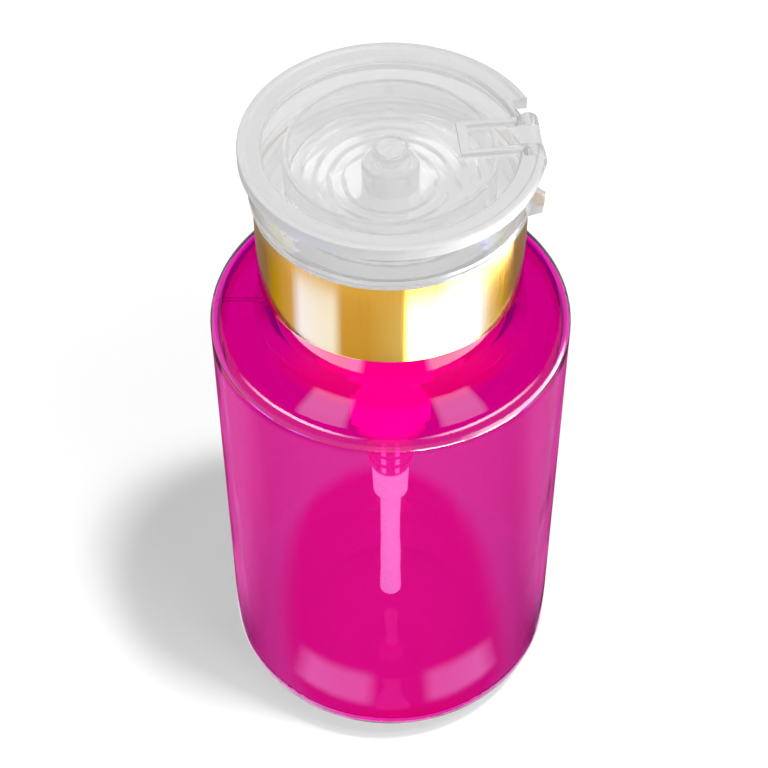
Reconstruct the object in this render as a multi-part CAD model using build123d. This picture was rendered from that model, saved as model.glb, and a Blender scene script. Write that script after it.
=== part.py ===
from build123d import *
import os
from math import cos, pi, sin, sqrt

# Push-down pump bottle for nail polish remover. Millimetres, +Z up, origin at the middle of the foot.
# The lid's hinge is on +X.

# Clearances that more than one piece uses
overrun = 1.0            # how far a cutter runs past the face it cuts
free_gap = 0.3           # between pieces that move past each other
running_gap = 0.05       # between a rod or a seal and its bore
fit_gap = 0.02           # between pieces pushed together for good
rest_gap = 0.1           # between a moving piece and the stop it rests on

# Bottle
bottle_radius = 30.5
bottle_wall = 1.3
shoulder_height = 91.5
shoulder_round = 3.2
heel_reach = 12.0        # how far in the rounded heel goes
heel_rise = 8.0          # how far up it goes
foot_ring_width = 2.2
push_up = 3.0            # rise of the base inside its foot ring
push_up_half_share = 0.75    # share of that rise halfway out
plinth_height = 8.9
plinth_root_round = 2.4
finish_radius = 15.05    # neck finish at the foot of its thread
finish_height = 8.4
finish_wall = 1.65
plinth_step = 4.95       # how far the plinth stands out past the finish

# Thread of bottle and screw cap
thread_pitch = 4.23
thread_depth = 1.2
thread_base = 2.2
thread_crest = 0.9
thread_play = 0.15       # between the flanks that bear
thread_gap = 0.3         # between a crest and the root opposite
thread_sink = 0.1        # how far a ridge's root runs into its wall
neck_thread_turns = 1.3
cap_thread_turns = 1.2
thread_start = 1.5       # centre of a thread's lower end above the foot of the wall that carries it

# Gasket, and the top of the pump's housing
gasket_thickness = 1.0
flange_thickness = 1.4
flange_overhang = 1.0    # how far the flange covers the bottle's lip
barrel_bore = 6.2
barrel_wall = 1.0
barrel_depth = 49.6      # below the flange
barrel_floor = 1.2
flange_root_round = 2.0
vent_radius = 0.5
vent_drop = 17.5         # below the flange

# Lower end of the housing: ribbed valve chamber, taper, and the socket of the dip tube
chamber_radius = 4.1
chamber_length = 9.7
chamber_bore = 2.9
chamber_rib_depth = 0.35
chamber_ribs = 4
chamber_rib_share = 0.55     # share of a rib's pitch that stands out
taper_length = 2.0
socket_radius = 3.4
socket_length = 6.9
socket_draft = 0.2

# Dip tube
tube_radius = 1.95
tube_bore = 1.35
tube_end_gap = 5.5       # above the bottle's floor

# Inlet valve
inlet_ball_radius = 2.2
inlet_ball_travel = 1.2
inlet_port_radius = 1.3
inlet_seat_height = 1.6
cage_flange_radius = 5.8
cage_flange_height = 1.0
cage_port_radius = 1.3
cage_slot_width = 0.8
cage_slot_depth = 0.8

# Stem, piston and outlet valve
stem_radius = 3.0
stem_bore = 1.4
stem_shoulder_radius = 4.4
stem_shoulder_height = 0.9
piston_height = 5.0
piston_groove = 1.1      # depth of the waist between the two lips
piston_lip_height = 1.2
carrier_flange_radius = 5.4
carrier_flange_height = 1.2
carrier_tail_radius = 3.3
carrier_tail_length = 4.4
carrier_spigot_radius = 2.3
carrier_spigot_length = 6.4
outlet_ball_radius = 1.75
outlet_ball_travel = 1.0
outlet_port_radius = 1.1
outlet_seat_height = 1.0
outlet_slot_width = 0.8
outlet_slot_depth = 0.8

# Stem guide
guide_length = 14.0
guide_flange_radius = 8.6
guide_flange_height = 0.7
guide_land = 4.0         # length of the bore that bears on the stem
guide_relief = 1.0       # how much wider the rest of the bore is

# Return spring
wire_radius = 0.45
spring_radius = 4.65     # to the middle of the wire
spring_turns = 9
spring_end_pitch = 1.5   # rise of the first and the last turn

# Screw cap
cap_sleeve_wall = 1.35
cap_sleeve_lift = 0.4    # foot of the threaded sleeve above the plinth
cap_skirt_gap = 0.6      # between the skirt and the bottle's plinth
cap_skirt_wall = 0.85
deck_thickness = 1.4
deck_lap = 1.8           # how far the deck covers the housing's flange
cap_rim_wall = 0.65
cap_bead = 0.2           # how far the bead inside the rim stands in
cap_bead_height = 0.6

# Gold collar
collar_wall = 0.5
collar_lift = 8.7        # lower edge above the bottle's shoulder
collar_edge_round = 0.2

# Push dish
press_stroke = 5.0
press_clearance = 0.7    # left over the deck at the end of the stroke
dish_moat = 4.3          # between the dish and the shell's wall
dish_wall = 0.85
dish_height = 6.9
dish_rim_round = 0.28
dish_floor_round = 0.4
dish_floor_rise = 0.9    # edge of the floor above the foot of the wall
dish_floor_dip = 0.7
dish_floor_thickness = 0.9
dish_ridges = 4
dish_ridge_height = 0.3
dish_ridge_width = 0.9
dish_ridge_start = 7.4
dish_ridge_edge = 1.8    # from the outermost ridge to the wall
post_radius = 4.6
post_height = 4.5
post_round = 0.7
tab_count = 3
tab_angle = 85.0         # of the first tab, seen from above, from the hinge
tab_width = 1.2
tab_reach = 2.4
tab_height = 3.4

# Nozzle tip
nozzle_wall = 0.8
nozzle_skirt = 1.3
nozzle_plate = 0.7       # thickness of the plate that carries the head
nozzle_head_radius = 1.8
nozzle_head_height = 1.5
nozzle_head_round = 0.4
nozzle_slot_length = 2.6
nozzle_slot_width = 0.7

# Top shell
shell_gap = 0.2          # over the collar
shell_floor = 1.0
shell_height = 7.9
shell_overhang = 0.25    # past the collar
shell_flare = 1.15       # from its foot to its top
shell_wall = 1.0
shell_bead_height = 1.1
shell_bead_depth = 0.2
skirt_wall = 0.7
skirt_bead_height = 0.8
lock_turn = 30.0         # from free to locked
stop_width = 2.0
nub_angle = -17.0
nub_width = 4.6
nub_height = 3.2
nub_reach = 2.2
nub_tip_share = 0.6      # size of the tip as a share of the root

# Hinge between shell and lid
hinge_offset = 1.2       # pin's axis inside the shell's outer edge
ear_radius = 1.7
ear_width = 2.8
barrel_width = 4.1
barrel_radius = 1.6
ear_side_gap = 0.15
ear_root_drop = 5.6      # foot of the ears below the pin
pin_radius = 0.6

# Lid
lid_overhang = 0.5
lid_height = 2.3
lid_rim_width = 0.9
lid_rim_height = 0.4
lid_band_width = 3.8
lid_disc_thickness = 0.6
lid_edge_round = 0.35
plug_ring_wall = 0.8
plug_ring_depth = 1.4
lid_notch_front = 0.3    # past the front ear
lid_notch_back = 2.8     # past the back ear
lid_rib_width = 0.9
lid_rib_spacing = 6.6
lid_rib_length = 9.5      # from the band inwards
lid_rib_bar_width = 1.6
boss_wall = 0.6
boss_depth = 1.1

# Lid seal
seal_radius = 2.2
seal_round = 0.3

# Heights that follow from the sizes above
plinth_top = shoulder_height + plinth_height
neck_top = plinth_top + finish_height
gasket_top = neck_top + gasket_thickness
flange_top = gasket_top + flange_thickness
deck_top = flange_top + deck_thickness
dish_bottom = deck_top + press_stroke + press_clearance
dish_rim = dish_bottom + dish_height
shell_floor_top = dish_bottom - free_gap
shell_bottom = shell_floor_top - shell_floor
shell_top = shell_bottom + shell_height
collar_top = shell_bottom - shell_gap
collar_bottom = shoulder_height + collar_lift
cap_bottom = collar_bottom + shell_gap
sleeve_bottom = plinth_top + cap_sleeve_lift
hinge_height = shell_top + rest_gap
lid_top = hinge_height + lid_height
lid_under = dish_rim + free_gap

# Radii and places that follow, from the neck finish outwards
mouth_radius = finish_radius - finish_wall
plinth_radius = finish_radius + plinth_step
skirt_inner = plinth_radius + cap_skirt_gap
cap_radius = skirt_inner + cap_skirt_wall
collar_inner = cap_radius + running_gap
collar_radius = collar_inner + collar_wall
shell_foot_radius = collar_radius + shell_overhang
shell_top_radius = shell_foot_radius + shell_flare
dish_radius = shell_foot_radius - shell_wall - dish_moat
dish_ridge_pitch = (dish_radius - dish_wall - dish_ridge_edge - dish_ridge_start) / (dish_ridges - 1)
hinge_place = shell_top_radius - hinge_offset
lid_radius = shell_top_radius + lid_overhang
lid_band_inner_radius = lid_radius - lid_band_width
lid_rib_start = lid_band_inner_radius - lid_rib_length
rim_inner = cap_radius - cap_rim_wall
sleeve_bore = finish_radius + thread_depth + thread_gap
dish_bore = dish_radius + free_gap
tab_radius = dish_radius + tab_reach
skirt_outer = rim_inner - free_gap
skirt_inner_radius = skirt_outer - skirt_wall
housing_radius = barrel_bore + barrel_wall
flange_radius = mouth_radius + flange_overhang
barrel_bottom = gasket_top - barrel_depth
chamber_bottom = barrel_bottom - chamber_length
socket_top = chamber_bottom - taper_length
socket_bottom = socket_top - socket_length
barrel_floor_top = barrel_bottom + barrel_floor
guide_bottom = flange_top - guide_length
shoulder_top = guide_bottom - rest_gap
piston_top = shoulder_top - stem_shoulder_height
piston_bottom = piston_top - piston_height
spring_top = piston_bottom - carrier_flange_height
spring_bottom = barrel_floor_top + cage_flange_height
cap_bead_low = deck_top + free_gap + skirt_bead_height + free_gap + rest_gap
neck_thread_foot = plinth_top + thread_start
thread_offset = (thread_base + thread_crest) / 2 + thread_play
cap_thread_foot = sleeve_bottom + thread_base / 2 + rest_gap
cap_thread_lead = (cap_thread_foot + thread_offset - neck_thread_foot) / thread_pitch
cap_unscrew_turns = neck_thread_turns - cap_thread_lead
ear_near = barrel_width / 2 + ear_side_gap
ear_far = ear_near + ear_width
notch_front = -(ear_far + lid_notch_front)
notch_back = ear_far + lid_notch_back
notch_place = hinge_place - ear_radius - free_gap
dish_floor_centre = dish_bottom + dish_floor_rise - dish_floor_dip
dish_floor_under = dish_floor_centre - dish_floor_thickness
post_top = dish_floor_centre + post_height
post_bore = stem_radius + fit_gap
stem_top = post_top - nozzle_skirt
nozzle_top = post_top + nozzle_head_height


def turned(*corners):
    """A solid turned about Z from its corners: (radius, height) or (radius, height, rounding)."""
    points = [corner[:2] for corner in corners]
    rounds = [corner[2] if len(corner) > 2 else 0 for corner in corners]
    if any(rounds):
        edge = FilletPolyline(*points, radius=rounds, close=True)
    else:
        edge = Polyline(*points, close=True)
    return revolve(Plane.XZ * make_face(edge), Axis.Z)


def tube(inner, outer, low, high):
    """A plain ring between two heights."""
    return turned((inner, low), (outer, low), (outer, high), (inner, high))


def rod(radius, low, high):
    """A plain round bar on the Z axis between two heights."""
    return tube(0, radius, low, high)


def block(x_low, x_high, y_low, y_high, z_low, z_high):
    """A block between three pairs of planes."""
    middle = ((x_low + x_high) / 2, (y_low + y_high) / 2, (z_low + z_high) / 2)
    return Pos(*middle) * Box(x_high - x_low, y_high - y_low, z_high - z_low)


def radial_block(angle, width, near, far, low, high):
    """A block that stands along a radius."""
    return Rot(0, 0, angle) * block(near, far, -width / 2, width / 2, low, high)


def ridge(root, reach, foot, turns):
    """A screw thread's ridge; reach is negative for one that points inwards."""
    side = 1 if reach > 0 else -1
    path = Helix(thread_pitch, thread_pitch * turns, root, center=(0, 0, foot))
    section = Polyline(
        (-side * thread_sink, -thread_base / 2),
        (reach, -thread_crest / 2),
        (reach, thread_crest / 2),
        (-side * thread_sink, thread_base / 2),
        close=True,
    )
    start = Plane(origin=path @ 0, x_dir=(1, 0, 0), z_dir=path % 0)
    return sweep(start * make_face(section), path=path, is_frenet=True)


def shell_radius(height):
    """Outer radius of the top shell's cone at a height."""
    share = (height - shell_bottom) / shell_height
    return shell_foot_radius + share * (shell_top_radius - shell_foot_radius)


def bottle_outline(inset):
    """Half outline of the bottle below its finish, closed on the axis, drawn in by a wall."""
    side = bottle_radius - inset
    roof = shoulder_height - inset
    plinth = plinth_radius - inset
    foot_outer = bottle_radius - heel_reach
    foot_inner = foot_outer - foot_ring_width
    heel_across = heel_reach - inset
    heel_up = heel_rise - inset
    shoulder_arc = shoulder_round - inset / 2
    root_arc = plinth_root_round + inset / 2
    ceiling = plinth_top - inset
    return [
        ThreePointArc(
            (0, push_up + inset),
            (foot_inner / 2, push_up * push_up_half_share + inset),
            (foot_inner, inset),
        ),
        Line((foot_inner, inset), (foot_outer, inset)),
        EllipticalCenterArc((foot_outer, heel_rise), heel_across, heel_up, start_angle=-90, arc_size=90),
        Line((side, heel_rise), (side, roof - shoulder_arc)),
        ThreePointArc(
            (side, roof - shoulder_arc),
            (side - shoulder_arc * (1 - sqrt(0.5)), roof - shoulder_arc * (1 - sqrt(0.5))),
            (side - shoulder_arc, roof),
        ),
        Line((side - shoulder_arc, roof), (plinth + root_arc, roof)),
        ThreePointArc(
            (plinth + root_arc, roof),
            (plinth + root_arc * (1 - sqrt(0.5)), roof + root_arc * (1 - sqrt(0.5))),
            (plinth, roof + root_arc),
        ),
        Line((plinth, roof + root_arc), (plinth, ceiling)),
        Line((plinth, ceiling), (0, ceiling)),
        Line((0, ceiling), (0, push_up + inset)),
    ]


def make_bottle():
    outside = revolve(Plane.XZ * make_face(bottle_outline(0)), Axis.Z)
    inside = revolve(Plane.XZ * make_face(bottle_outline(bottle_wall)), Axis.Z)
    finish = rod(finish_radius, plinth_top - bottle_wall, neck_top)
    thread = ridge(finish_radius, thread_depth, neck_thread_foot, neck_thread_turns)
    mouth = rod(mouth_radius, plinth_top - 2 * bottle_wall, neck_top + overrun)
    return outside + finish + thread - inside - mouth


def make_neck_gasket():
    return tube(mouth_radius, finish_radius, neck_top, gasket_top)


def make_pump_housing():
    body = turned(
        (0, socket_top),
        (socket_radius - socket_draft, socket_bottom),
        (socket_radius, socket_top),
        (chamber_radius - chamber_rib_depth, chamber_bottom),
        (chamber_radius - chamber_rib_depth, barrel_bottom),
        (housing_radius, barrel_bottom, barrel_wall / 2),
        (housing_radius, gasket_top, flange_root_round),
        (flange_radius, gasket_top),
        (flange_radius, flange_top),
        (0, flange_top),
    )
    body += rod(socket_radius - socket_draft, socket_bottom, socket_top)
    rib_pitch = chamber_length / chamber_ribs
    for n in range(chamber_ribs):
        low = chamber_bottom + n * rib_pitch
        body += rod(chamber_radius, low, low + rib_pitch * chamber_rib_share)
    body -= rod(barrel_bore, barrel_floor_top, flange_top + overrun)
    seat_foot = chamber_bottom + inlet_seat_height
    body -= rod(chamber_bore, seat_foot, barrel_floor_top + overrun)
    seat_drop = chamber_bore - inlet_port_radius
    body -= turned(
        (0, seat_foot - seat_drop),
        (inlet_port_radius, seat_foot - seat_drop),
        (chamber_bore, seat_foot),
        (0, seat_foot),
    )
    body -= rod(inlet_port_radius, socket_bottom, seat_foot)
    body -= rod(tube_radius + fit_gap, socket_bottom - overrun, socket_top)
    vent = Pos(0, -barrel_bore, gasket_top - vent_drop) * Rot(90, 0, 0)
    body -= vent * Cylinder(vent_radius, 2 * barrel_wall + overrun)
    return body


def make_dip_tube():
    floor_height = push_up + bottle_wall
    return tube(tube_bore, tube_radius, floor_height + tube_end_gap, socket_top)


def ball_height(seat_foot, seat_radius, radius):
    """Centre of a ball that lies on a 45 degree seat, just clear of it."""
    return seat_foot - seat_radius + (radius + fit_gap) * sqrt(2)


def make_ball(height, radius):
    return Pos(0, 0, height) * Sphere(radius)


inlet_ball_height = ball_height(chamber_bottom + inlet_seat_height, chamber_bore, inlet_ball_radius)
cage_bottom = inlet_ball_height + inlet_ball_radius + inlet_ball_travel + rest_gap
carrier_spigot_top = piston_bottom + carrier_spigot_length
outlet_seat_radius = outlet_port_radius + outlet_seat_height
outlet_ball_height = ball_height(carrier_spigot_top, outlet_seat_radius, outlet_ball_radius)
valve_ceiling = outlet_ball_height + outlet_ball_radius + outlet_ball_travel + rest_gap


def make_valve_cage():
    cage = rod(chamber_bore - fit_gap, cage_bottom, barrel_floor_top)
    cage += rod(cage_flange_radius, barrel_floor_top, spring_bottom)
    cage -= rod(cage_port_radius, cage_bottom - overrun, spring_bottom + overrun)
    slot = block(
        -chamber_bore,
        chamber_bore,
        -cage_slot_width / 2,
        cage_slot_width / 2,
        cage_bottom - overrun,
        cage_bottom + cage_slot_depth,
    )
    return cage - slot - Rot(0, 0, 90) * slot


def make_stem_guide():
    guide = rod(barrel_bore - fit_gap, guide_bottom, flange_top)
    guide += rod(guide_flange_radius, flange_top, flange_top + guide_flange_height)
    guide -= rod(stem_radius + running_gap, guide_bottom - overrun, deck_top)
    relief_low = guide_bottom + guide_land
    return guide - rod(stem_radius + guide_relief, relief_low, flange_top - guide_land)


def make_stem():
    stem = rod(stem_radius, piston_bottom, stem_top)
    stem += rod(stem_shoulder_radius, piston_top, shoulder_top)
    stem -= rod(carrier_spigot_radius + fit_gap, piston_bottom - overrun, valve_ceiling)
    stem -= rod(stem_bore, valve_ceiling - overrun, stem_top + overrun)
    slot = block(
        -carrier_spigot_radius,
        carrier_spigot_radius,
        -outlet_slot_width / 2,
        outlet_slot_width / 2,
        valve_ceiling - overrun,
        valve_ceiling + outlet_slot_depth,
    )
    return stem - slot


def make_piston_seal():
    lip = barrel_bore - running_gap
    waist = lip - piston_groove
    inner = stem_radius + fit_gap
    return turned(
        (inner, piston_bottom),
        (lip, piston_bottom),
        (lip, piston_bottom + piston_lip_height),
        (waist, piston_bottom + piston_lip_height + piston_groove / 2),
        (waist, piston_top - piston_lip_height - piston_groove / 2),
        (lip, piston_top - piston_lip_height),
        (lip, piston_top),
        (inner, piston_top),
    )


def make_piston_carrier():
    carrier = rod(carrier_tail_radius, spring_top - carrier_tail_length, spring_top)
    carrier += rod(carrier_flange_radius, spring_top, piston_bottom)
    carrier += rod(carrier_spigot_radius, piston_bottom, carrier_spigot_top)
    carrier -= rod(outlet_port_radius, spring_top - carrier_tail_length - overrun, carrier_spigot_top)
    return carrier - turned(
        (0, carrier_spigot_top - outlet_seat_height),
        (outlet_port_radius, carrier_spigot_top - outlet_seat_height),
        (outlet_seat_radius, carrier_spigot_top),
        (0, carrier_spigot_top),
    )


def biarc(start, start_way, end, end_way):
    """Two arcs that meet smoothly between two points with given directions."""
    across = end - start
    both = start_way + end_way
    bend = 2 * (1 - start_way.dot(end_way))
    along = across.dot(both)
    reach = (sqrt(along * along + bend * across.dot(across)) - along) / bend
    near = start + start_way * reach
    far = end - end_way * reach
    middle = (near + far) / 2
    return [
        TangentArc(start, middle, tangent=start_way),
        TangentArc(middle, end, tangent=(far - near).normalized()),
    ]


def spring_rise(turn):
    """Height of the wire's middle above its lower end after so many turns."""
    height = spring_top - spring_bottom - 2 * (wire_radius + fit_gap)
    open_pitch = (height - 2 * spring_end_pitch) / (spring_turns - 2)
    if turn <= 1:
        return spring_end_pitch * turn
    if turn >= spring_turns - 1:
        return height - spring_end_pitch * (spring_turns - turn)
    return spring_end_pitch + open_pitch * (turn - 1)


def spring_points(steps_per_turn):
    """Points of the wire's middle and its direction at each."""
    foot = spring_bottom + wire_radius + fit_gap
    points, ways = [], []
    for n in range(spring_turns * steps_per_turn + 1):
        turn = n / steps_per_turn
        angle = 2 * pi * turn
        before = max(turn - 1 / steps_per_turn, 0)
        after = min(turn + 1 / steps_per_turn, spring_turns)
        slope = (spring_rise(after) - spring_rise(before)) / (after - before) / (2 * pi)
        place = (spring_radius * cos(angle), spring_radius * sin(angle), foot + spring_rise(turn))
        points.append(Vector(*place))
        way = Vector(-spring_radius * sin(angle), spring_radius * cos(angle), slope)
        ways.append(way.normalized())
    return points, ways


def make_return_spring():
    points, ways = spring_points(4)
    edges = []
    for n in range(len(points) - 1):
        edges += biarc(points[n], ways[n], points[n + 1], ways[n + 1])
    path = Wire(edges)
    start = Plane(origin=points[0], z_dir=ways[0])
    return sweep(start * Circle(wire_radius), path=path)


def spring_least_gap():
    """Least gap of the spring's wire to itself, on points more than half a turn apart."""
    steps = 24
    points, _ = spring_points(steps)
    least = min(
        (points[a] - points[b]).length
        for a in range(len(points))
        for b in range(a + steps // 2, len(points))
    )
    return least - 2 * wire_radius


def make_screw_cap():
    sleeve = tube(sleeve_bore, sleeve_bore + cap_sleeve_wall, sleeve_bottom, flange_top)
    skirt = tube(skirt_inner, cap_radius, cap_bottom, flange_top)
    rim = tube(rim_inner, cap_radius, flange_top, collar_top)
    bead = turned(
        (rim_inner - cap_bead, cap_bead_low),
        (rim_inner + cap_bead, cap_bead_low),
        (rim_inner + cap_bead, cap_bead_low + cap_bead_height),
    )
    deck = tube(flange_radius - deck_lap, cap_radius, flange_top, deck_top)
    stop = radial_block(180, stop_width, skirt_inner_radius, rim_inner + cap_bead, deck_top, cap_bead_low)
    thread = ridge(sleeve_bore, -thread_depth, cap_thread_foot, cap_thread_turns)
    return sleeve + skirt + rim + bead + deck + stop + Rot(0, 0, cap_thread_lead * 360) * thread


def make_gold_collar():
    return turned(
        (collar_inner, collar_bottom),
        (collar_radius, collar_bottom, collar_edge_round),
        (collar_radius, collar_top, collar_edge_round),
        (collar_inner, collar_top),
    )


def ring_ridges(first, pitch, count, width, height, base):
    """Outline corners of ridges on a floor, from the outside in; base gives the floor's height."""
    corners = []
    for n in reversed(range(count)):
        radius = first + n * pitch
        corners += [
            (radius + width / 2, base(radius + width / 2)),
            (radius, base(radius) + height),
            (radius - width / 2, base(radius - width / 2)),
        ]
    return corners


def dish_floor(radius):
    """Height of the dish's floor at a radius."""
    share = (radius / (dish_radius - dish_wall)) ** 2
    return dish_floor_centre + dish_floor_dip * share


def make_push_dish():
    inner = dish_radius - dish_wall
    ridges = ring_ridges(
        dish_ridge_start, dish_ridge_pitch, dish_ridges, dish_ridge_width, dish_ridge_height, dish_floor
    )
    dish = turned(
        (dish_radius, dish_bottom),
        (dish_radius, dish_rim, dish_rim_round),
        (inner, dish_rim, dish_rim_round),
        (inner, dish_floor(inner), dish_floor_round),
        *ridges,
        (post_radius, dish_floor(post_radius)),
        (post_radius, post_top, post_round),
        (post_bore, post_top),
        (post_bore, dish_floor_under),
        (post_radius + dish_wall, dish_floor_under),
        (dish_ridge_start, dish_floor(dish_ridge_start) - dish_floor_thickness),
        (inner, dish_bottom),
    )
    for n in range(tab_count):
        angle = tab_angle + n * 360 / tab_count
        root = dish_radius - dish_wall / 2
        dish += radial_block(angle, tab_width, root, tab_radius, dish_bottom, dish_bottom + tab_height)
    return dish


def make_nozzle_tip():
    skirt_radius = stem_radius
    bore = skirt_radius - nozzle_wall
    tip = turned(
        (bore, stem_top + fit_gap),
        (skirt_radius, stem_top + fit_gap),
        (skirt_radius, post_top),
        (nozzle_head_radius, post_top),
        (nozzle_head_radius, nozzle_top, nozzle_head_round),
        (0, nozzle_top),
        (0, post_top - nozzle_plate),
        (bore, post_top - nozzle_plate),
    )
    half_length = nozzle_slot_length / 2
    half_width = nozzle_slot_width / 2
    return tip - block(-half_length, half_length, -half_width, half_width, stem_top, nozzle_top + overrun)


def hinge_ears():
    """The two lugs of the shell on either side of the lid's barrel."""
    foot_height = hinge_height - ear_root_drop
    foot_outer = shell_radius(foot_height)
    outline = Polyline(
        (hinge_place - ear_radius, hinge_height),
        (hinge_place + ear_radius, hinge_height),
        (foot_outer, foot_height),
        (foot_outer - shell_wall, foot_height),
        close=True,
    )
    lug = make_face(outline) + Pos(hinge_place, hinge_height) * Circle(ear_radius)
    one = Pos(0, ear_far, 0) * extrude(Plane.XZ * lug, amount=ear_width)
    other = Pos(0, -ear_near, 0) * extrude(Plane.XZ * lug, amount=ear_width)
    return one + other


def across_hinge(radius, length):
    """A round bar along the hinge's axis."""
    return Pos(hinge_place, 0, hinge_height) * Rot(90, 0, 0) * Cylinder(radius, length)


def finger_nub():
    """The bevelled lug that turns the shell from free to locked."""
    middle = shell_bottom + nub_height / 2
    root = Plane(origin=(shell_foot_radius - shell_wall / 2, 0, middle), x_dir=(0, 1, 0), z_dir=(1, 0, 0))
    tip = root.offset(nub_reach + shell_wall / 2)
    sides = (nub_width, nub_height)
    tip_sides = (nub_width * nub_tip_share, nub_height * nub_tip_share)
    return Rot(0, 0, nub_angle) * loft([root * Rectangle(*sides), tip * Rectangle(*tip_sides)])


def lock_window():
    """The slot in the shell's skirt that the cap's stop runs in."""
    margin = (stop_width / 2 + free_gap) / skirt_inner_radius * 180 / pi
    section = Polyline(
        (skirt_inner_radius - free_gap, deck_top),
        (rim_inner + free_gap, deck_top),
        (rim_inner + free_gap, cap_bead_low + free_gap),
        (skirt_inner_radius - free_gap, cap_bead_low + free_gap),
        close=True,
    )
    sector = revolve(Plane.XZ * make_face(section), Axis.Z, revolution_arc=lock_turn + 2 * margin)
    return Rot(0, 0, 180 - lock_turn - margin) * sector


def make_top_shell():
    shell = turned(
        (shell_radius(shell_bottom) - shell_wall, shell_bottom),
        (shell_radius(shell_bottom), shell_bottom),
        (shell_radius(shell_top), shell_top),
        (shell_radius(shell_top) - shell_wall, shell_top),
    )
    for n in range(2):
        low = shell_bottom + n * (shell_bead_height + shell_bead_depth)
        reach = shell_radius(low) + shell_bead_depth
        shell += turned(
            (shell_radius(low) - shell_wall / 2, low),
            (reach, low, shell_bead_depth),
            (reach, low + shell_bead_height, shell_bead_depth),
            (shell_radius(low) - shell_wall / 2, low + shell_bead_height),
        )
    shell += tube(dish_bore, shell_foot_radius - shell_wall / 2, shell_bottom, shell_floor_top)
    skirt_low = deck_top + free_gap
    bead_reach = rim_inner - rest_gap
    shell += turned(
        (skirt_inner_radius, skirt_low),
        (skirt_outer, skirt_low),
        (bead_reach, skirt_low + skirt_bead_height / 2),
        (bead_reach, skirt_low + skirt_bead_height),
        (skirt_outer, skirt_low + skirt_bead_height + free_gap),
        (skirt_outer, shell_bottom),
        (skirt_inner_radius, shell_bottom),
    )
    shell -= lock_window()
    for n in range(tab_count):
        angle = tab_angle + n * 360 / tab_count
        notch_width = tab_width + 2 * free_gap
        notch_far = tab_radius + free_gap
        shell -= radial_block(
            angle, notch_width, dish_radius, notch_far, shell_bottom - overrun, shell_floor_top + overrun
        )
    rim_over = sqrt(lid_radius**2 - notch_front**2) - hinge_place
    relief_low = hinge_height - rim_over - free_gap
    relief_side = sqrt(lid_radius**2 - hinge_place**2) + free_gap
    far = lid_radius + overrun
    shell -= block(notch_place, far, -relief_side, relief_side, relief_low, hinge_height)
    shell += hinge_ears() + finger_nub()
    barrel_low = hinge_height - barrel_radius - free_gap
    shell -= block(notch_place, far, -ear_near, ear_near, barrel_low, hinge_height)
    return shell - across_hinge(pin_radius + fit_gap, 2 * ear_far + overrun)


def make_hinge_pin():
    return across_hinge(pin_radius, 2 * ear_far)


def make_lid():
    disc_top = lid_under + lid_disc_thickness
    band_top = lid_top - lid_rim_height
    ring_low = hinge_height - plug_ring_depth
    ring_outer = shell_radius(ring_low) - shell_wall - free_gap
    ring_inner = ring_outer - plug_ring_wall
    boss_inner = seal_radius + fit_gap
    lid = turned(
        (0, lid_under),
        (boss_inner, lid_under),
        (boss_inner, lid_under - boss_depth),
        (boss_inner + boss_wall, lid_under - boss_depth),
        (boss_inner + boss_wall, lid_under),
        (ring_inner, lid_under),
        (ring_inner, ring_low),
        (ring_outer, ring_low),
        (ring_outer, hinge_height),
        (lid_radius, hinge_height),
        (lid_radius, lid_top, lid_edge_round),
        (lid_radius - lid_rim_width, lid_top, lid_edge_round / 2),
        (lid_radius - lid_rim_width - lid_rim_height, band_top, lid_edge_round / 2),
        (lid_band_inner_radius + lid_edge_round, band_top, lid_edge_round / 2),
        (lid_band_inner_radius, disc_top),
        (0, disc_top),
    )
    reach = lid_radius + overrun
    lid -= block(notch_place, reach, notch_front, notch_back, ring_low - overrun, lid_top + overrun)
    side = lid_rib_spacing / 2
    half = lid_rib_width / 2
    for middle in (-side, side):
        lid += block(lid_rib_start, notch_place, middle - half, middle + half, lid_under, band_top)
    bar_end = lid_rib_start + lid_rib_bar_width
    lid += block(lid_rib_start, bar_end, -side, side, lid_under, band_top)
    tongue_start = lid_band_inner_radius - lid_rib_bar_width
    tongue_side = barrel_width / 2
    lid += block(tongue_start, hinge_place, -tongue_side, tongue_side, lid_under, hinge_height + barrel_radius)
    lid += across_hinge(barrel_radius, barrel_width)
    return lid - across_hinge(pin_radius + running_gap, barrel_width + overrun)


def make_lid_seal():
    low = nozzle_top + free_gap
    return turned((0, low), (seal_radius, low, seal_round), (seal_radius, lid_under), (0, lid_under))


def save(name, shape):
    export_step(shape, f"parts/{name}.step")


os.makedirs("parts", exist_ok=True)
save("bottle", make_bottle())
save("neck_gasket", make_neck_gasket())
save("pump_housing", make_pump_housing())
save("dip_tube", make_dip_tube())
save("valve_cage", make_valve_cage())
save("inlet_ball", make_ball(inlet_ball_height, inlet_ball_radius))
save("stem_guide", make_stem_guide())
save("stem", make_stem())
save("piston_seal", make_piston_seal())
save("piston_carrier", make_piston_carrier())
save("outlet_ball", make_ball(outlet_ball_height, outlet_ball_radius))
save("return_spring", make_return_spring())
save("screw_cap", make_screw_cap())
save("gold_collar", make_gold_collar())
save("push_dish", make_push_dish())
save("nozzle_tip", make_nozzle_tip())
save("top_shell", make_top_shell())
save("hinge_pin", make_hinge_pin())
save("lid", make_lid())
save("lid_seal", make_lid_seal())
print("least gap of the spring's wire", round(spring_least_gap(), 2))
print("turns to unscrew the cap", round(cap_unscrew_turns, 3), "lift", round(cap_unscrew_turns * thread_pitch, 2))
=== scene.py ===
# %% [markdown]
# # A push-down pump bottle for nail polish remover
# The object is almost all plastic, and most of it is clear. What makes it look real is therefore
# what light does inside the walls: how deep the magenta gets where it looks through two walls,
# how milky the frosted band of the lid is beside its clear disc, and what the gold sleeve
# mirrors. The shapes come from the CAD model, which is loaded as a fixed frame. This script
# dresses it.

# %% Load the frame
import math

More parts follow.
